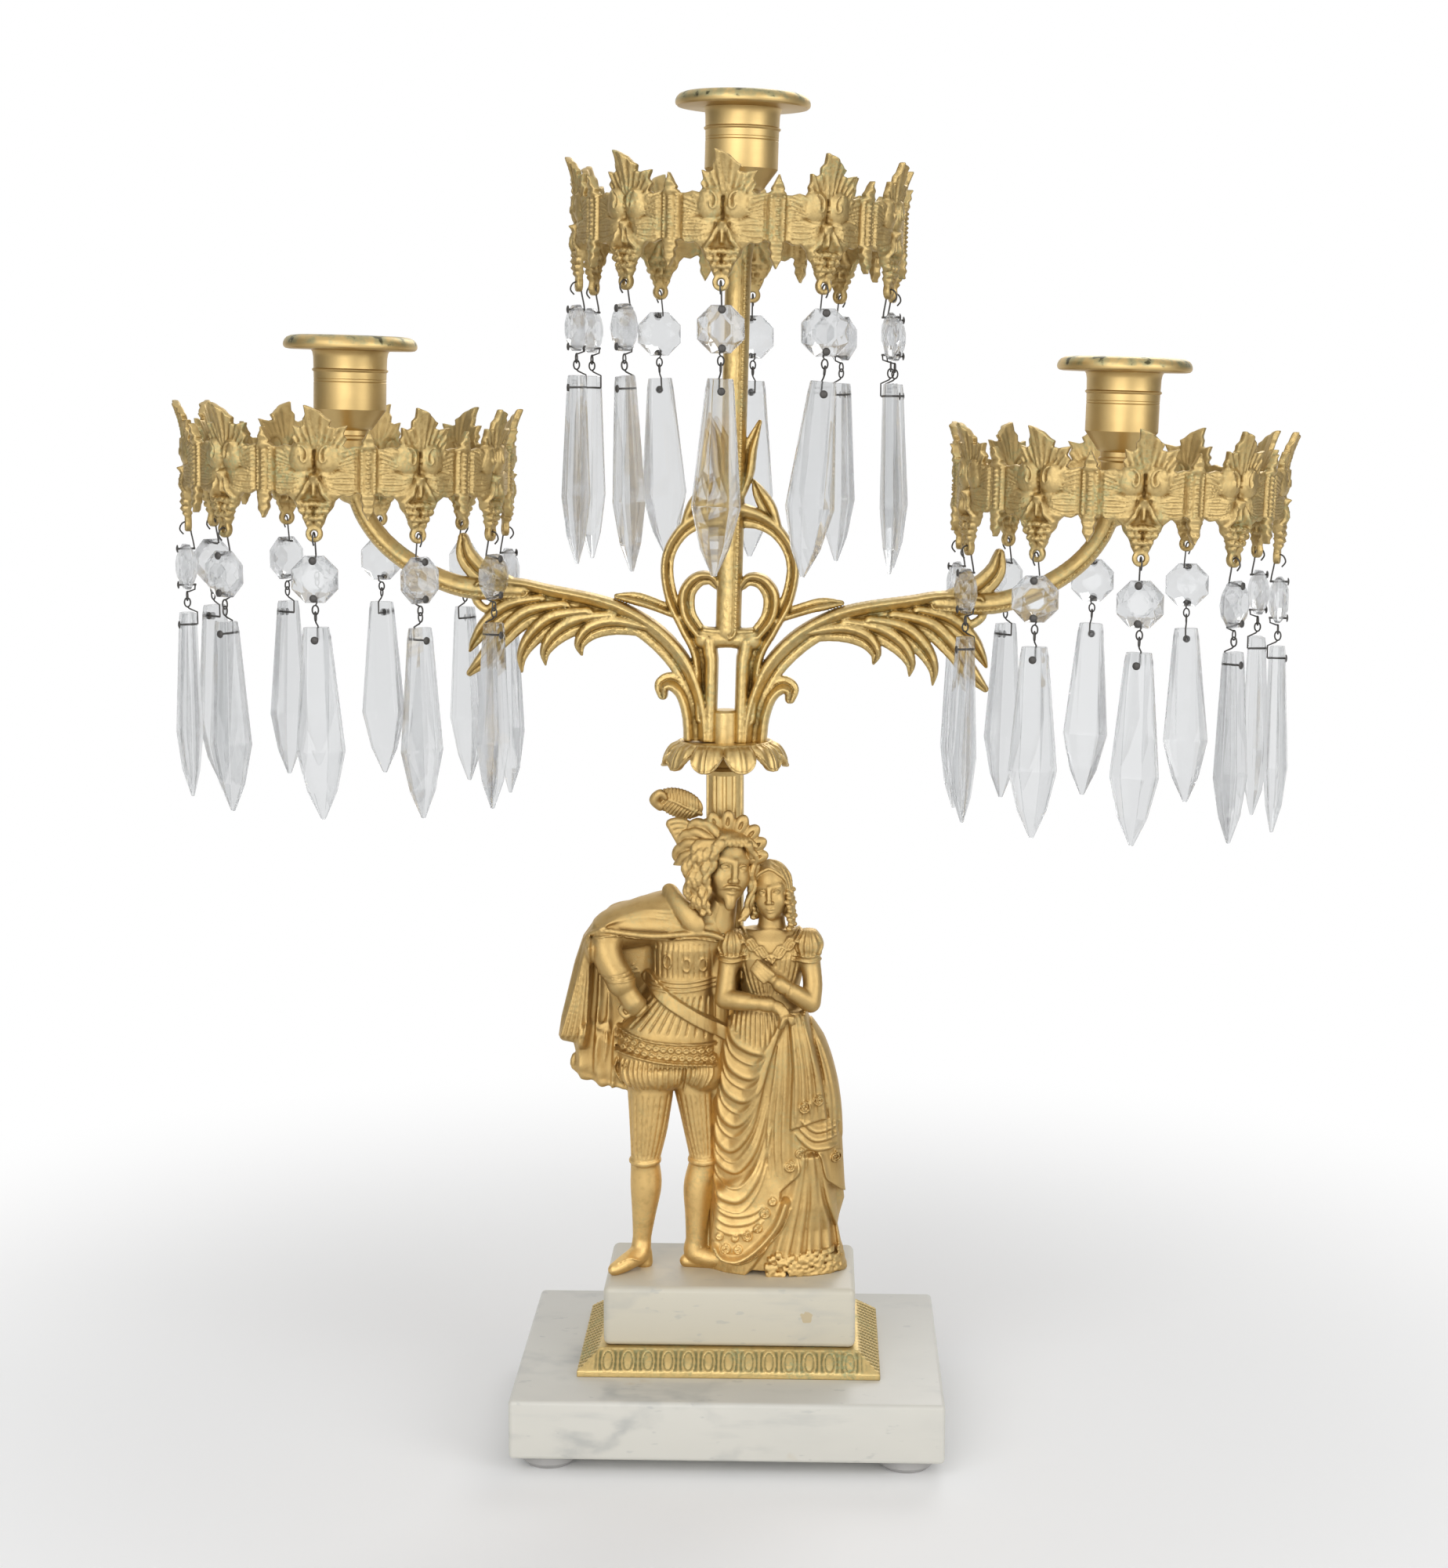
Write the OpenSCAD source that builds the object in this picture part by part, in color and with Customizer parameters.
// Girandole candle holder: a marble base carries a gilt couple and a fluted post,
// and the post carries a three-light scrolled branch. Each light is a candle cup
// with a lift-out nozzle and a leafy collar that is hung all round with crystal drops.
// Millimetres, +Z up, origin on the floor under the middle of the base, front is -Y.

/* [Base] */
// Width of the marble plate
plate_w = 145; // [130:1:165]
// Depth of the marble plate
plate_d = 112; // [100:1:125]
// Thickness of the marble plate
plate_t = 20.5; // [18:0.5:26]
// Chamfer along the marble edges
marble_edge = 1.5; // [0.5:0.1:3]
// Diameter of each foot pad
foot_d = 18.5; // [14:0.5:22]
// Height of each foot pad
foot_h = 5; // [3:0.5:7]
// Distance of a foot pad's centre from the plate's edges
foot_inset = 12.5; // [12:0.5:20]
// Width of the marble plinth
plinth_w = 86; // [84:1:100]
// Depth of the marble plinth
plinth_d = 50; // [48:1:60]
// Height of the marble plinth
plinth_h = 21; // [16:0.5:26]
// How far the gilt moulding stands out round the plinth
moulding_border = 8.5; // [6:0.5:12]
// Height of the gilt moulding
moulding_h = 8; // [6:0.5:10]
// Height of the plain fillet at the moulding's foot
moulding_fillet = 2; // [1:0.25:3]
// Width of the opening inside the gilt moulding
moulding_open_w = 44; // [36:1:60]
// Depth of the opening inside the gilt moulding
moulding_open_d = 34; // [24:1:40]

/* [Figures] */
// Clearance between the tip of the gentleman's plume and the leaf cup
plume_gap = 6.5; // [4:0.5:10]
// How far the couple is moved back on the plinth
couple_y = 6; // [4:0.5:7]

/* [Post] */
// Height of the fluted post
post_h = 173.5; // [170:0.5:190]
// Diameter of the fluted post
post_d = 12.9; // [11:0.1:14]
// Number of flutes
flutes = 12; // [8:1:16]
// Diameter of a flute
flute_d = 1.8; // [1:0.1:2.4]
// Height of the leaf cup on the post
leaf_cup_h = 11; // [9:0.5:14]
// Diameter of the leaf cup's flat top
leaf_cup_rim_d = 31; // [30:0.5:36]
// Diameter across the leaf cup's drooping leaves
leaf_cup_d = 42; // [38:0.5:46]
// Number of drooping leaves
cup_leaves = 10; // [8:1:12]

/* [Tie rod] */
// Diameter of the rod that holds base, post and leaf cup together
rod_d = 6; // [5:0.1:6.5]
// Diameter of the round cap nut on the rod's top
cap_nut_d = 9.6; // [9:0.1:11]
// Height of the round cap nut
cap_nut_h = 11; // [9:0.5:12]
// Distance across the flats of the nut under the base
base_nut_w = 10; // [9:0.5:12]
// Thickness of the nut under the base
base_nut_h = 5; // [4:0.5:6]
// Diameter of the washer under the base
washer_d = 16; // [14:0.5:18]
// Thickness of the washer under the base
washer_t = 1.2; // [1:0.1:2]
// Diameter of the two screws that hold the couple to the plinth
figure_screw_d = 4; // [3:0.1:5]

/* [Branch] */
// How far the branch leans to the right, in degrees
branch_lean = 1.6; // [0:0.1:2]
// Offset of the post and branch from the base's middle
post_x = -2.2; // [-3:0.1:0]
// Distance of a side light from the branch's axis
side_reach = 129; // [124:1:140]
// Height of a side arm's tip above the leaf cup
side_h = 92.4; // [86:0.2:100]
// Height of the middle stem's tip above the leaf cup
stem_h = 174.4; // [165:0.2:185]
// Thickness of the branch casting, front to back
branch_t = 9; // [8:0.5:10]
// Thickness of the leaves and scrolls on the branch
scroll_t = 6; // [4:0.5:8]
// Width of the middle stem
stem_w = 8.3; // [7:0.1:10]
// Width of each leg at the branch's foot
leg_w = 7.6; // [6:0.1:9]
// Width of the slot above the cap nut
slot_w = 5.6; // [4:0.1:7]
// Height of the slot above the cap nut
slot_h = 16.5; // [12:0.5:20]
// Diameter of the boss at each arm's tip
boss_d = 12; // [11:0.5:14]
// Depth of the boss at each arm's tip
boss_h = 12; // [11:0.5:14]
// Diameter of the pegs under the branch's legs
peg_d = 4; // [3:0.1:5]
// Length of the pegs under the branch's legs
peg_h = 2.5; // [2:0.1:3.5]

/* [Candle cups] */
// Diameter of the candle that a nozzle takes
candle_d = 20.2; // [18:0.1:20.8]
// Outside diameter of the cup
cup_d = 24.2; // [23.6:0.1:26]
// Wall of the nozzle's tube
nozzle_wall = 0.75; // [0.6:0.05:0.9]
// Height of the cup's narrow neck
neck_h = 9; // [7:0.5:12]
// Diameter of the cup's narrow neck
neck_d = 12.4; // [11:0.1:14]
// Height of the bevel between neck and body
bevel_h = 5.3; // [4:0.1:7]
// Height of the cup's round body
cup_body_h = 10; // [8:0.5:14]
// Depth of the nozzle's tube inside the cup
nozzle_depth = 9.9; // [6:0.1:13]
// Height of the nozzle's round part above the cup
nozzle_h = 10.5; // [8:0.5:14]
// Diameter of the nozzle's drip flange
flange_d = 44.6; // [38:0.2:50]
// Thickness of the nozzle's drip flange
flange_t = 3.2; // [2.4:0.1:4]
// Diameter of the screw that holds a cup to its arm
cup_screw_d = 4; // [3:0.1:4.5]
// Length of that screw in the arm's tip
cup_screw_grip = 9; // [7:0.5:10]

/* [Collars] */
// Radius of a collar's band, at the middle of its wall
collar_r = 53; // [50:0.5:56]
// Wall of the collar's band
band_t = 2; // [1.5:0.1:3]
// Height of the collar's band
band_h = 14.8; // [12:0.2:18]
// How far the collar's waist hangs below the strap's middle
collar_drop = 5.7; // [4:0.1:6]
// Thickness of the leaves on a collar
leaf_t = 2.6; // [2:0.1:3.2]
// Lean of the upright leaves, in degrees
leaf_flare = 7; // [0:0.5:12]
// Width of the strap that carries a collar
strap_w = 9; // [7:0.5:12]
// Thickness of the strap that carries a collar
strap_t = 1.6; // [1.2:0.1:2.4]
// Drop from a collar's waist to its hanging holes
hole_drop = 18.1; // [17:0.1:20]
// Diameter of a hanging hole
hole_d = 2.2; // [2:0.1:2.4]
// Diameter of the round tab about a hanging hole
tab_d = 5.4; // [5.2:0.1:6]

/* [Crystal drops] */
// Diameter of the wire
wire_d = 0.8; // [0.6:0.05:0.9]
// Radius of the wire eye in a hanging hole
eye_r = 2.6; // [2.5:0.05:3]
// Distance from the middle of that eye to the bead's upper pin
hook_len = 6.2; // [5.5:0.1:9]
// Distance across the flats of the octagon bead
bead_w = 15; // [12:0.1:17]
// Thickness of the octagon bead
bead_t = 6; // [5:0.1:8]
// Distance of a bead's pins from its edge
pin_inset = 1.5; // [1.3:0.05:2]
// Radius of the linked eyes between bead and prism
link_r = 1.5; // [1.35:0.05:1.8]
// Length of the pointed prism
prism_l = 62; // [56:0.5:66]
// Greatest width of the prism
prism_w = 15.5; // [13:0.1:16.5]
// Width of the prism's square head
prism_head_w = 8.2; // [6:0.1:10]
// Thickness of the prism's square head
prism_head_t = 4.8; // [4:0.1:6]
// Thickness of the prism where it is widest
prism_t = 7.6; // [6:0.1:9]
// How far the drops are turned away from square, in degrees
drop_turn = 22; // [0:1:30]

/* [Hidden] */
$fn = 48;
fit = 0.1;             // running clearance on a radius
rod_fit = 0.25;        // clearance round the tie rod
screw_fit = 0.2;       // clearance round screws and pegs
lean_fit = 0.5;        // clearance round what the leaning branch stands over
seat_gap = 0.05;       // gap at a soldered or wedged seat
through = 1;           // how far a cutter runs past a face
units = 10;            // leaves, holes and drops on a collar
unit_turn = 360 / units;
lights = [[-1, "left"], [0, "center"], [1, "right"]];
collar_turn = [-2, -4, 2];     // how far each collar is turned on its arm, in degrees
drop_phase = [0, 140, 260];    // where each collar's turning of its drops begins
golden_turn = 137.5;           // spreads the drops' turning evenly
near_arm_turn = 0.3;           // share of that turning for drops beside an arm
prism_tilt = [                 // how far each prism hangs askew to the side, in degrees
    [1, 0, -2, 1, -1, 0, 1, -1, 0, 1],
    [-2, -6, 2, 1, 2, 1, -2, 1, -1, 4],
    [-1, 0, -2, 1, -1, 2, 1, 1, -1, 0]
];

gilt = [0.83, 0.66, 0.33];
marble = [0.90, 0.90, 0.87];
crystal = [0.88, 0.93, 0.96, 0.5];
steel = [0.42, 0.42, 0.44];
felt = [0.62, 0.62, 0.62];

// Heights of the stack above the floor
plate_z = foot_h;
moulding_z = plate_z + plate_t;
plinth_z = moulding_z + moulding_h;
figure_z = plinth_z + plinth_h;
leaf_cup_z = figure_z + post_h;
couple_h = post_h - plume_gap;           // to the tip of the gentleman's plume
couple_share = couple_h / 168;           // the couple is drawn 168 high
branch_z = leaf_cup_z + leaf_cup_h;

rod_bore = rod_d / 2 + rod_fit;
rod_recess_d = washer_d + 2;
rod_recess_h = base_nut_h + washer_t + 3;
rod_engage = cap_nut_h - 3;
figure_screw_x = [8, 28];
figure_screw_y = couple_y - 8;
figure_screw_grip = 9;
figure_screw_head_d = 1.9 * figure_screw_d;
figure_screw_head_h = 0.7 * figure_screw_d;

moulding_w = plinth_w + 2 * moulding_border;
moulding_d = plinth_d + 2 * moulding_border;
moulding_flat = 2;             // level top left outside the plinth

leg_x = cap_nut_d / 2 + lean_fit + leg_w / 2 - 0.4;
slot_z = cap_nut_h + 2;
arch_h = 10;
arch_w = 2 * leg_x;

cup_r = cup_d / 2;
bore_r = candle_d / 2;
tube_r = bore_r + nozzle_wall;
cup_bore_r = tube_r + fit;
cup_h = neck_h + bevel_h + cup_body_h;
cup_screw_head_d = 1.7 * cup_screw_d;
cup_screw_head_h = 2.4;
cup_floor = cup_h - nozzle_depth - 0.6;

band_inner_r = collar_r - band_t / 2;
hang_r = collar_r + leaf_t / 2;
waist_z = strap_t / 2 - collar_drop;

wire_r = wire_d / 2;
leaf_share = band_h / 14.8;               // the collar's leaves are drawn for a band 14.8 high
rod_r = wire_r - 0.05;                   // straight wire, inside its eyes and bends
pin_bore_r = wire_r + 0.3;
pin_head_r = 1;
pin_head_t = 0.7;
eye_drop = eye_r - wire_r;              // from a hanging hole to the middle of its eye
girdle_t = 2;                           // thickness of the bead at its edge
bead_table = 0.58;                      // share of the bead's width that its flat face takes
bead_rise = (bead_t - girdle_t) / (bead_w * (1 - bead_table));
bead_front = girdle_t / 2 + (pin_inset + pin_head_r) * bead_rise + 0.1;
bead_pin_gap = bead_w - 2 * pin_inset;
back_y = girdle_t / 2 + pin_inset * bead_rise + wire_d; // wire behind the bead
link_gap = 2 * (link_r - wire_r) - 0.1; // between the middles of two linked eyes
prism_pin = 4;                          // from the prism's top to its pin
pin_z1 = -hook_len;
bead_z = pin_z1 - bead_pin_gap / 2;
pin_z2 = pin_z1 - bead_pin_gap;
link_top = bead_z - bead_w / 2 - wire_d;
link_z1 = link_top - link_r;
link_z2 = link_z1 - link_gap;
link_end = link_z2 - link_r;
link_slant = 1.4;                       // fall of the wire from its eye to the prism's back
prism_z = link_end - link_slant - 0.5;
pin_z3 = prism_z - prism_pin;
prism_back_y = prism_head_t / 2 + wire_d + 0.1;

function tip_h(side) = side == 0 ? stem_h : side_h;
function out(a, r) = [r * sin(a), -r * cos(a)];
function lean_point(p) = [
    post_x + p[0] * cos(branch_lean) + p[2] * sin(branch_lean),
    p[1],
    branch_z - p[0] * sin(branch_lean) + p[2] * cos(branch_lean)
];
function drop_angle(light, k) = collar_turn[light] + k * unit_turn;
function hole_point(light, k) =
    let (side = lights[light][0], a = drop_angle(light, k), p = out(a, hang_r))
    lean_point([side * side_reach + p[0], p[1], tip_h(side) + waist_z - hole_drop]);
function beside_arm(light, k) =
    lights[light][0] != 0 && -lights[light][0] * sin(drop_angle(light, k)) > 0.7;
function drop_yaw(light, k) =
    drop_turn * sin(k * golden_turn + drop_phase[light])
    * (beside_arm(light, k) ? near_arm_turn : 1);

// Smooth curve through points, which may carry a width as their third number
function blend_points(a, b, c, d, t) = 0.5 * (2 * b + (c - a) * t
    + (2 * a - 5 * b + 4 * c - d) * t * t + (3 * b - a - 3 * c + d) * t * t * t);
function smooth(p, n) = [
    for (i = [0:len(p) - 2], k = [0:n - 1])
        blend_points(p[max(i - 1, 0)], p[i], p[i + 1], p[min(i + 2, len(p) - 1)], k / n),
    p[len(p) - 1]
];
function heading(p, i) =
    let (d = p[min(i + 1, len(p) - 1)] - p[max(i - 1, 0)], l = norm([d[0], d[1]]))
    [d[0] / l, d[1] / l];
function edge(p, s) = [
    for (i = [0:len(p) - 1])
        let (h = heading(p, i)) [p[i][0] - s * h[1] * p[i][2] / 2, p[i][1] + s * h[0] * p[i][2] / 2]
];
function reversed(p) = [for (i = [len(p) - 1:-1:0]) p[i]];
function ribbon_outline(p) = concat(edge(p, 1), reversed(edge(p, -1)));

// Points along an arm, as shares of the side reach and height with a width in millimetres
function arm_point(p) = [p[0] * side_reach, p[1] * side_h, p[2]];
arm_curve = concat(
    [[leg_x, 0, leg_w], [leg_x + 0.2, 0.065 * side_h, leg_w], [leg_x + 2.2, 0.163 * side_h, leg_w]],
    [for (p = [
        [0.124, 0.271, 7.6], [0.190, 0.366, 7.6], [0.279, 0.438, 7.4], [0.388, 0.476, 7.2],
        [0.512, 0.501, 7.4], [0.636, 0.523, 7.4], [0.721, 0.547, 6.8], [0.798, 0.593, 6.6],
        [0.868, 0.655, 6.6], [0.926, 0.736, 6.6], [0.969, 0.823, 6.6], [0.995, 0.931, 6.8],
        [1, 0.98, 7]
    ]) arm_point(p)]
);
arm_leaves = [
    [[0.22, 0.41, 5], [0.349, 0.412, 7.5], [0.465, 0.386, 9], [0.574, 0.320, 8], [0.672, 0.217, 2.4]],
    [[0.335, 0.400, 4.5], [0.374, 0.360, 4], [0.383, 0.312, 1.4]],
    [[0.430, 0.375, 5], [0.472, 0.325, 4.4], [0.478, 0.267, 1.4]],
    [[0.510, 0.350, 5], [0.540, 0.290, 4], [0.537, 0.233, 1.4]],
    [[0.590, 0.540, 4], [0.640, 0.572, 5], [0.680, 0.632, 5], [0.703, 0.712, 2]],
    [[0.690, 0.520, 2.6], [0.672, 0.435, 2.6], [0.622, 0.365, 2.6]]
];
lyre_curves = [
    [[6, 12, 5], [9.5, 28, 6], [14.5, 39, 5.4], [19.3, 48.4, 5], [21.3, 58, 4.4], [19.6, 65.6, 4.2],
     [13.5, 73, 4.2], [3, 79.5, 4.2]],
    [[14.5, 40, 5], [16.3, 49.5, 4.6], [14, 54.4, 4.4], [10.2, 55.6, 4.4], [7.6, 52.4, 3.6]],
    [[16, 41.5, 4.4], [26.6, 46, 4.4], [37.5, 48.4, 1.6]],
    [[3, 80, 5], [5, 92, 4.4], [7.8, 106, 1.6]],
    [[10, 13, 5], [15.5, 19, 4.4], [20, 20.6, 4], [22, 16, 2.6]]
];

// Block whose twelve edges are all chamfered, standing on z = 0
module chamfered_block(w, d, h, c) {
    module face(a, b) {
        polygon([[-a / 2 + c, -b / 2], [a / 2 - c, -b / 2], [a / 2, -b / 2 + c], [a / 2, b / 2 - c],
                 [a / 2 - c, b / 2], [-a / 2 + c, b / 2], [-a / 2, b / 2 - c], [-a / 2, -b / 2 + c]]);
    }
    translate([0, 0, h / 2]) intersection() {
        linear_extrude(h, center = true) face(w, d);
        rotate([90, 0, 0]) linear_extrude(d, center = true) face(w, h);
        rotate([90, 0, 90]) linear_extrude(w, center = true) face(d, h);
    }
}

module on_post(z) {
    translate([post_x, 0, z]) children();
}

module leaned() {
    translate([post_x, 0, branch_z]) rotate([0, branch_lean, 0]) children();
}

// Frame at the tip of a light's arm, leaning with the branch
module at_tip(side) {
    leaned() translate([side * side_reach, 0, tip_h(side)]) children();
}

module rod_between(a, b, r) {
    d = b - a;
    translate(a) rotate([0, acos(d[2] / norm(d)), atan2(d[1], d[0])]) cylinder(r = r, h = norm(d), $fn = 16);
}

// Upright flat casting cut to an outline in x and z
module upright(t) {
    rotate([90, 0, 0]) linear_extrude(t, center = true) children();
}

module ribbon(points, n = 3) {
    polygon(ribbon_outline(smooth(points, n)));
}

module both_sides() {
    children();
    mirror([1, 0, 0]) children();
}

module foot_pads() {
    x = plate_w / 2 - foot_inset;
    y = plate_d / 2 - foot_inset;
    bevel = 0.35 * foot_h;
    color(felt) for (sx = [-1, 1], sy = [-1, 1])
        translate([sx * x, sy * y, 0]) rotate_extrude()
            polygon([[0, 0], [foot_d / 2 - bevel, 0], [foot_d / 2, bevel],
                     [foot_d / 2, foot_h], [0, foot_h]]);
}

module base_plate() {
    color(marble) translate([0, 0, plate_z]) difference() {
        chamfered_block(plate_w, plate_d, plate_t, marble_edge);
        translate([post_x, 0, -through]) cylinder(r = rod_bore, h = plate_t + 2 * through);
        translate([post_x, 0, -through]) cylinder(d = rod_recess_d, h = rod_recess_h + through);
    }
}

module moulding_frame() {
    slope_w = moulding_border - moulding_flat;
    module slope(w) {
        polygon([[-w / 2, 0], [w / 2, 0], [w / 2, moulding_fillet], [w / 2 - slope_w, moulding_h],
                 [-w / 2 + slope_w, moulding_h], [-w / 2, moulding_fillet]]);
    }
    color(gilt) translate([0, 0, moulding_z]) difference() {
        intersection() {
            rotate([90, 0, 0]) linear_extrude(moulding_d, center = true) slope(moulding_w);
            rotate([90, 0, 90]) linear_extrude(moulding_w, center = true) slope(moulding_d);
        }
        translate([-moulding_open_w / 2, -moulding_open_d / 2, -through])
            cube([moulding_open_w, moulding_open_d, moulding_h + 2 * through]);
    }
}

module plinth_block() {
    color(marble) translate([0, 0, plinth_z]) difference() {
        chamfered_block(plinth_w, plinth_d, plinth_h, marble_edge);
        translate([post_x, 0, -through]) cylinder(r = rod_bore, h = plinth_h + 2 * through);
        for (x = figure_screw_x) translate([x, figure_screw_y, -through]) {
            cylinder(d = figure_screw_d + 2 * screw_fit, h = plinth_h + 2 * through);
            cylinder(d = figure_screw_head_d + 2 * screw_fit, h = figure_screw_head_h + through + screw_fit);
        }
    }
}

module figure_screws() {
    color(steel) for (x = figure_screw_x) translate([x, figure_screw_y, plinth_z]) {
        cylinder(d = figure_screw_head_d, h = figure_screw_head_h);
        cylinder(d = figure_screw_d, h = plinth_h + figure_screw_grip);
    }
}

// Body parts of the couple: a tapering limb and an egg-shaped mass
module limb(a, b, ra, rb) {
    hull() {
        translate(a) sphere(ra, $fn = 16);
        translate(b) sphere(rb, $fn = 16);
    }
}

module mass(p, r) {
    translate(p) scale(r) sphere(1, $fn = 20);
}

// Slice of a body or a skirt: middle, half width, half depth
module slice(p, r) {
    translate(p) linear_extrude(0.5) scale(r) circle(1, $fn = 24);
}

module gentleman() {
    // legs, shoes and puffed breeches
    limb([-27, -10.5, 60], [-29.8, -10, 38], 7.5, 5.4);
    limb([-29.8, -10, 38], [-30.2, -9, 25], 5, 5.2);
    limb([-30.2, -9, 25], [-31, -7.5, 8], 5.2, 3.2);
    limb([-31.5, -8, 4], [-39, -16, 2], 4, 2.6);
    limb([-14, -9, 60], [-10.6, -7.5, 38], 7.5, 5);
    limb([-10.6, -7.5, 38], [-11, -7, 25], 4.8, 5.2);
    limb([-11, -7, 25], [-12, -6.5, 6], 5.2, 4);
    limb([-13, -6, 3], [-7, -7, 2.4], 4, 3.4);
    mass([-23, -10, 69], [15, 10.5, 9]);
    // tunic, chest and shoulders
    hull() {
        slice([-22, -10, 76], [15.6, 11]);
        slice([-17, -9, 104], [10.2, 8]);
    }
    hull() {
        slice([-17, -9, 104], [10.2, 8]);
        slice([-16, -9, 122], [14, 8.5]);
        mass([-14, -8, 124], [15, 7.5, 5]);
    }
    limb([-8, -8, 122], [-1, -11, 136], 5, 4.4);
    // web between the two figures
    limb([-4.5, -10, 62], [-4.5, -11, 118], 4.6, 4.6);
    // arm on the hip, under the cape
    limb([-27, -9, 123], [-45, -11, 118], 6.4, 5.2);
    limb([-45, -11, 118], [-31, -19, 93], 5.2, 4);
    // cape hanging from the shoulders
    hull() {
        translate([-24, -3, 129]) sphere(4, $fn = 16);
        translate([-43, -3, 122]) sphere(4.5, $fn = 16);
        translate([-47, -4, 112]) sphere(5, $fn = 16);
        translate([-55, -7, 86]) sphere(4, $fn = 16);
        translate([-50, -4, 75]) sphere(4, $fn = 16);
        translate([-34, -2, 68]) sphere(3.5, $fn = 16);
        translate([-12, -2, 72]) sphere(3.5, $fn = 16);
        translate([-8, -2, 124]) sphere(4, $fn = 16);
    }
    // head, hair, cap and plumes
    mass([0.5, -13.5, 140], [7.4, 8, 10]);
    mass([-4, -10, 141], [11.5, 9, 11]);
    mass([-11, -10, 131], [5, 6, 7.5]);
    mass([-1, -10, 152], [13, 9.5, 6]);
    limb([-9, -7, 157], [-18, -7, 164], 5, 4.6);
    limb([-18, -7, 164], [-22.4, -7.4, 163.4], 4.6, 2.8);
    limb([-12, -8, 154], [-19, -9, 152.6], 4, 3);
}

module lady() {
    // skirt
    hull() {
        slice([16, -5, 0], [25, 13.5]);
        slice([16, -5.5, 10], [24, 13]);
        slice([16, -6.5, 36], [23.2, 12.5]);
        slice([14.2, -7.5, 63], [21.4, 12]);
        slice([13, -9, 88], [17, 10]);
        slice([13.6, -10.5, 98], [9.6, 7.6]);
    }
    // bodice and puffed sleeves
    hull() {
        slice([13.6, -10.5, 98], [9.6, 7.6]);
        slice([13.6, -10.8, 110], [12, 8]);
        mass([13, -10.4, 115], [13.5, 6.5, 4.6]);
    }
    mass([-0.6, -13, 113.5], [5.4, 5.4, 5.4]);
    mass([27.4, -11.6, 114], [5, 5.4, 5.8]);
    // arms
    limb([-0.6, -14, 112], [-1.2, -17, 97.5], 4, 4);
    limb([-1.2, -17, 97.5], [14, -22, 95], 4, 2.8);
    limb([27.6, -12, 112], [28.4, -15, 97.5], 4, 4);
    limb([28.4, -15, 97.5], [11, -20.5, 109], 4, 2.6);
    // neck, head and ringlets
    limb([14, -9.5, 118], [14, -10.5, 128], 4.4, 4);
    mass([14, -11.6, 134.4], [6.8, 7.4, 9]);
    mass([15, -8.6, 136], [8.6, 8, 9]);
    limb([21.6, -8, 133], [21.8, -8.6, 119], 3.4, 3);
}

module figure_group() {
    color(gilt) difference() {
        translate([0, couple_y, figure_z]) scale(couple_share) union() {
            gentleman();
            lady();
        }
        translate([-plate_w, -plate_d, figure_z - plate_w]) cube([2 * plate_w, 2 * plate_d, plate_w]);
        on_post(figure_z - through) cylinder(d = post_d + 2 * rod_fit, h = post_h + leaf_cup_h);
        for (x = figure_screw_x) translate([x, figure_screw_y, figure_z - through])
            cylinder(d = figure_screw_d + 2 * screw_fit, h = figure_screw_grip + 2 * through, $fn = 24);
    }
}

module fluted_post() {
    color(gilt) on_post(figure_z) difference() {
        linear_extrude(post_h) difference() {
            circle(d = post_d);
            for (i = [0:flutes - 1]) rotate(i * 360 / flutes) translate([post_d / 2 + flute_d / 6, 0])
                circle(d = flute_d, $fn = 16);
        }
        translate([0, 0, -through]) cylinder(r = rod_bore, h = post_h + 2 * through);
    }
}

module leaf_cup() {
    rim_r = leaf_cup_rim_d / 2;
    spread = leaf_cup_d / 2;
    leaf_t2 = 2.2;
    droop = leaf_cup_h - 1;
    leaf_r = PI * spread / cup_leaves * 0.86;
    color(gilt) on_post(leaf_cup_z) difference() {
        union() {
            intersection() {
                rotate_extrude() polygon([
                    [0, leaf_cup_h], [rim_r, leaf_cup_h], [spread - 2, leaf_cup_h - 2.6],
                    [spread, leaf_cup_h - droop],
                    [spread - leaf_t2, leaf_cup_h - droop], [spread - leaf_t2 - 1.6, leaf_cup_h - 4.6],
                    [rim_r - 1, leaf_cup_h - 3.4], [0, leaf_cup_h - 3.4]
                ]);
                linear_extrude(leaf_cup_h + through) union() {
                    circle(r = spread - leaf_r * 0.7);
                    for (i = [0:cup_leaves - 1]) rotate((i + 0.5) * 360 / cup_leaves)
                        translate([spread - leaf_r, 0]) circle(r = leaf_r);
                }
            }
            rotate_extrude() polygon([
                [0, 0], [post_d / 2, 0], [post_d / 2 + 1, 2], [post_d / 2, 4], [rim_r * 0.7, leaf_cup_h - 3],
                [0, leaf_cup_h - 3]
            ]);
        }
        translate([0, 0, -through]) cylinder(r = rod_bore, h = leaf_cup_h + 2 * through);
        for (s = [-1, 1]) translate([s * leg_x, 0, leaf_cup_h - peg_h - screw_fit])
            cylinder(d = peg_d + 2 * screw_fit, h = peg_h + screw_fit + through);
    }
}

module tie_rod() {
    color(steel) on_post(plate_z + 2) cylinder(d = rod_d, h = branch_z + rod_engage - plate_z - 2);
}

module cap_nut() {
    c = 0.8;
    color(gilt) on_post(branch_z) difference() {
        rotate_extrude() polygon([[0, 0], [cap_nut_d / 2, 0], [cap_nut_d / 2, cap_nut_h - c],
                                  [cap_nut_d / 2 - c, cap_nut_h], [0, cap_nut_h]]);
        translate([0, 0, -through]) cylinder(d = rod_d + fit, h = rod_engage + through + fit);
    }
}

module base_washer() {
    color(steel) on_post(plate_z + rod_recess_h - washer_t) difference() {
        cylinder(d = washer_d, h = washer_t);
        translate([0, 0, -through]) cylinder(r = rod_bore, h = washer_t + 2 * through);
    }
}

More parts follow.
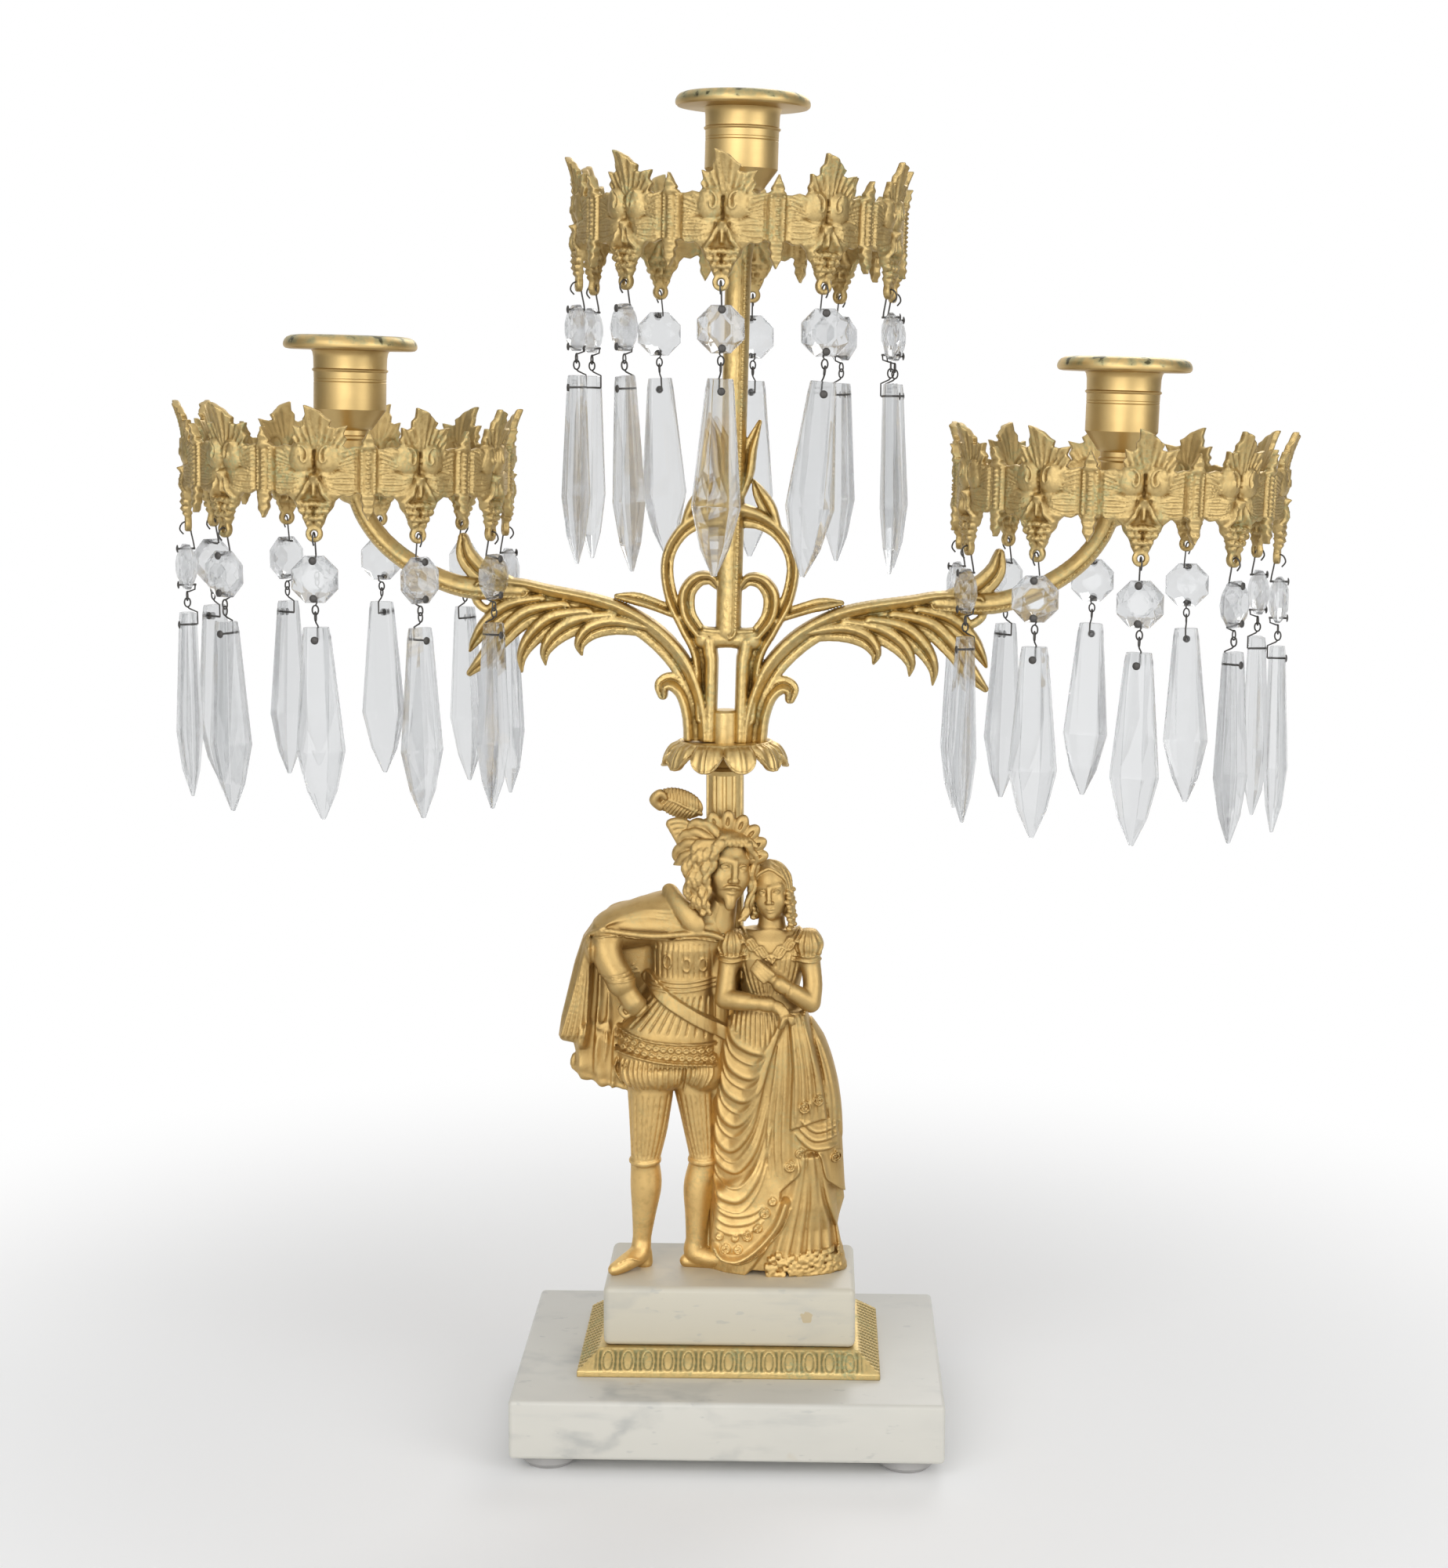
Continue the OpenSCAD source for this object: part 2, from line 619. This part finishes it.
module base_nut() {
    color(steel) on_post(plate_z + rod_recess_h - washer_t - base_nut_h) difference() {
        cylinder(d = base_nut_w / cos(30), h = base_nut_h, $fn = 6);
        translate([0, 0, -through]) cylinder(d = rod_d + fit, h = base_nut_h + 2 * through);
    }
}

// Branch: two legs, two arms, a middle stem and the scrolls and leaves between them
module branch() {
    color(gilt) difference() {
        union() {
            leaned() {
                both_sides() {
                    upright(branch_t) ribbon(arm_curve);
                    translate([leg_x, 0, -1.5]) cube([leg_w, branch_t, 4], center = true);
                    for (leaf = arm_leaves) upright(scroll_t) ribbon([for (p = leaf) arm_point(p)]);
                    for (curve = lyre_curves) upright(scroll_t) ribbon(curve);
                }
                upright(branch_t) translate([-stem_w / 2, slot_z + slot_h])
                    square([stem_w, stem_h - slot_z - slot_h - 1]);
                upright(branch_t) translate([-arch_w / 2, slot_z + slot_h]) square([arch_w, arch_h]);
                upright(branch_t) translate([-leg_x, slot_z]) square([leg_x - slot_w / 2, slot_h + through]);
                upright(branch_t) translate([slot_w / 2, slot_z])
                    square([leg_x - slot_w / 2, slot_h + through]);
            }
            for (l = lights) at_tip(l[0]) translate([0, 0, -boss_h]) cylinder(d = boss_d, h = boss_h);
        }
        for (l = lights) at_tip(l[0]) translate([0, 0, -cup_screw_grip - 1])
            cylinder(d = cup_screw_d + 2 * screw_fit, h = cup_screw_grip + 1 + through);
        on_post(branch_z - leaf_cup_h) translate([-plate_w / 2, -plate_d / 2, 0])
            cube([plate_w, plate_d, leaf_cup_h]);
        on_post(branch_z - through)
            cylinder(d = cap_nut_d + 2 * lean_fit, h = cap_nut_h + lean_fit + through);
    }
    color(gilt) for (s = [-1, 1]) on_post(branch_z - peg_h) translate([s * leg_x, 0, 0])
        cylinder(d = peg_d, h = peg_h + through);
}

module strap(side) {
    end_r = band_inner_r - seat_gap;
    color(gilt) at_tip(side) difference() {
        intersection() {
            union() {
                translate([-strap_w / 2, -collar_r, 0]) cube([strap_w, 2 * collar_r, strap_t]);
                cylinder(d = neck_d + 2, h = strap_t);
            }
            cylinder(r = end_r, h = strap_t);
        }
        translate([0, 0, -through]) cylinder(d = cup_screw_d + 2 * screw_fit, h = strap_t + 2 * through);
    }
}

// One leaf of a collar: a toothed fan over two volutes, and a drop that ends in a holed tab
module collar_leaf() {
    fan = leaf_share * [[-6.4, 1], [-7, 8.5], [-7.4, 12], [-5.4, 12.6], [-5.2, 15.6], [-3.2, 15.8],
                        [-1.4, 20.8],
                        [1.2, 20.4], [2.8, 16.4], [4.6, 16], [5.6, 12.8], [7.4, 12.2],
                        [7, 8.5], [6.4, 1]];
    left = leaf_share * [[-6.6, -4], [-5.8, -9], [-4, -12.4], [-2.6, -14.4]];
    tab = [[-tab_d / 2, -hole_drop], [tab_d / 2, -hole_drop]];
    drop = concat(left, tab, [for (i = [3:-1:0]) [-left[i][0], left[i][1]]]);
    volute_r = 3.4 * leaf_share;
    difference() {
        union() {
            rotate([90 + leaf_flare, 0, 0]) linear_extrude(leaf_t) polygon(fan);
            rotate([90, 0, 0]) linear_extrude(leaf_t) polygon(drop);
            translate([0, 0, -hole_drop]) rotate([90, 0, 0]) cylinder(d = tab_d, h = leaf_t);
            for (s = [-1, 1]) translate([s * (volute_r - 0.2), -leaf_t - 0.6, volute_r]) sphere(volute_r);
        }
        translate([0, through, -hole_drop]) rotate([90, 0, 0]) cylinder(d = hole_d, h = leaf_t + 2 * through);
    }
}

// Slim beaded spindle between two leaves of a collar
module collar_spindle() {
    rotate([90, 0, 0]) linear_extrude(leaf_t)
        polygon(leaf_share * [[0, 13.8], [1.9, 10], [2.2, 0], [2.1, -9.6], [1.1, -11], [1.6, -12.6],
                              [0, -14.6], [-1.6, -12.6], [-1.1, -11], [-2.1, -9.6], [-2.2, 0],
                              [-1.9, 10]]);
}

module collar(light) {
    side = lights[light][0];
    color(gilt) at_tip(side) translate([0, 0, waist_z]) rotate([0, 0, collar_turn[light]]) difference() {
        union() {
            rotate_extrude() translate([band_inner_r, -band_h / 2]) square([band_t, band_h]);
            for (k = [0:units - 1]) {
                rotate([0, 0, k * unit_turn]) translate([0, -collar_r, 0]) collar_leaf();
                rotate([0, 0, (k + 0.5) * unit_turn]) translate([0, -collar_r, 0]) collar_spindle();
            }
        }
        translate([0, 0, -band_h / 2]) cylinder(r = band_inner_r, h = band_h);
    }
}

module cup(side) {
    waist = neck_d / 2;
    ring = 1.2;
    color(gilt) at_tip(side) translate([0, 0, strap_t]) rotate_extrude() polygon([
        [cup_screw_d / 2 + screw_fit, 0], [waist, 0], [waist, 0.45 * neck_h], [waist + ring, 0.5 * neck_h],
        [waist + ring, 0.62 * neck_h], [waist + 0.4, 0.68 * neck_h], [waist + 0.4, 0.86 * neck_h],
        [waist + ring + 0.9, neck_h], [cup_r, neck_h + bevel_h], [cup_r, cup_h], [cup_bore_r, cup_h],
        [cup_bore_r, cup_floor], [cup_screw_head_d / 2 + screw_fit, cup_floor],
        [cup_screw_head_d / 2 + screw_fit, cup_floor - cup_screw_head_h],
        [cup_screw_d / 2 + screw_fit, cup_floor - cup_screw_head_h]
    ]);
}

module cup_screws() {
    color(steel) for (l = lights) at_tip(l[0]) {
        head_z = strap_t + cup_floor - cup_screw_head_h;
        translate([0, 0, -cup_screw_grip]) cylinder(d = cup_screw_d, h = cup_screw_grip + head_z);
        translate([0, 0, head_z]) cylinder(d = cup_screw_head_d, h = cup_screw_head_h - 0.2);
    }
}

module nozzle(side) {
    flange_r = flange_d / 2;
    top = nozzle_h + flange_t;
    lip = 0.8;
    color(gilt) at_tip(side) translate([0, 0, strap_t + cup_h]) rotate_extrude() polygon([
        [bore_r, -nozzle_depth], [tube_r, -nozzle_depth], [tube_r, 0], [cup_r, 0],
        [cup_r + 0.2, 0.75 * nozzle_h],
        [cup_r + 1, nozzle_h], [flange_r - 2, nozzle_h + 0.2 * flange_t],
        [flange_r - 0.3, nozzle_h + 0.35 * flange_t],
        [flange_r, nozzle_h + 0.5 * flange_t], [flange_r - 0.4, nozzle_h + 0.7 * flange_t],
        [flange_r - 3, top - 0.3],
        [bore_r + 3, top], [bore_r + lip, top - 0.2], [bore_r, top - lip]
    ]);
}

// Wire eye whose hole faces along x, or along y when crossed
module wire_eye(z, r, crossed = false) {
    translate([0, 0, z]) rotate(crossed ? [90, 0, 0] : [0, 90, 0])
        rotate_extrude($fn = 32) translate([r, 0]) circle(wire_r, $fn = 16);
}

// Headed pin that runs from the wire behind a crystal to the crystal's face
module headed_pin(z, back, front) {
    translate([0, back, z]) {
        sphere(wire_r, $fn = 16);
        rotate([90, 0, 0]) cylinder(r = rod_r, h = back + front, $fn = 16);
    }
    translate([0, -front, z]) rotate([90, 0, 0]) cylinder(r = pin_head_r, h = pin_head_t, $fn = 24);
}

// Wire that runs along the back of a crystal and bends over to an eye
module bent_wire(pin_z, bend_z, eye_z, back) {
    rod_between([0, back, pin_z], [0, back, bend_z], rod_r);
    rod_between([0, back, bend_z], [0, 0, eye_z], rod_r);
    translate([0, back, bend_z]) sphere(wire_r, $fn = 16);
}

module bead() {
    module octagon(w, y, t) {
        translate([0, y + t / 2, bead_z]) rotate([90, 0, 0]) rotate(22.5)
            cylinder(d = w / cos(22.5), h = t, $fn = 8);
    }
    difference() {
        hull() {
            octagon(bead_w, 0, girdle_t);
            octagon(bead_table * bead_w, 0, bead_t);
        }
        for (z = [pin_z1, pin_z2]) translate([0, bead_t, z]) rotate([90, 0, 0])
            cylinder(r = pin_bore_r, h = 2 * bead_t, $fn = 16);
    }
}

module prism() {
    wide_z = 0.64 * prism_l;
    face = 0.45;
    thin = 0.01;
    module section(z, w, back, front, flat) {
        translate([0, 0, prism_z - z - thin]) linear_extrude(thin)
            polygon([[-w / 2, back], [-w / 2, -front * 0.3], [-w / 2 * flat, -front],
                     [w / 2 * flat, -front], [w / 2, -front * 0.3], [w / 2, back]]);
    }
    difference() {
        hull() {
            section(0, prism_head_w, prism_head_t / 2, prism_head_t / 2, 0.62);
            section(wide_z, prism_w, 0.42 * prism_t, 0.58 * prism_t, face);
            section(prism_l - thin, 1.2, 0.5, 0.5, face);
        }
        translate([0, prism_t, pin_z3]) rotate([90, 0, 0])
            cylinder(r = pin_bore_r, h = 2 * prism_t, $fn = 16);
    }
}

// One crystal drop: hook, octagon bead, two linked wires and the pointed prism
module drop(light, k) {
    prism_front = prism_head_t / 2 + 0.5;
    color(crystal) translate(hole_point(light, k) - [0, 0, eye_drop]) rotate([0, 0, drop_angle(light, k)]) {
        wire_eye(0, eye_r);
        rotate([0, 0, drop_yaw(light, k)]) {
            rod_between([0, 0, -eye_r], [0, back_y, pin_z1], rod_r);
            headed_pin(pin_z1, back_y, bead_front);
            bead();
            headed_pin(pin_z2, back_y, bead_front);
            bent_wire(pin_z2, link_top, link_top, back_y);
            wire_eye(link_z1, link_r, crossed = true);
            translate([0, 0, link_z2]) rotate([0, -prism_tilt[light][k], 0]) translate([0, 0, -link_z2]) {
                wire_eye(link_z2, link_r);
                bent_wire(pin_z3, link_end - link_slant, link_end, prism_back_y);
                headed_pin(pin_z3, prism_back_y, prism_front);
                prism();
            }
        }
    }
}

foot_pads();
base_plate();
moulding_frame();
plinth_block();
figure_group();
figure_screws();
fluted_post();
leaf_cup();
tie_rod();
cap_nut();
base_nut();
base_washer();
branch();
cup_screws();
for (light = [0:len(lights) - 1]) {
    side = lights[light][0];
    name = lights[light][1];
    strap(side);
    collar(light);
    cup(side);
    nozzle(side);
    for (k = [1:units]) drop(light, k - 1);
}
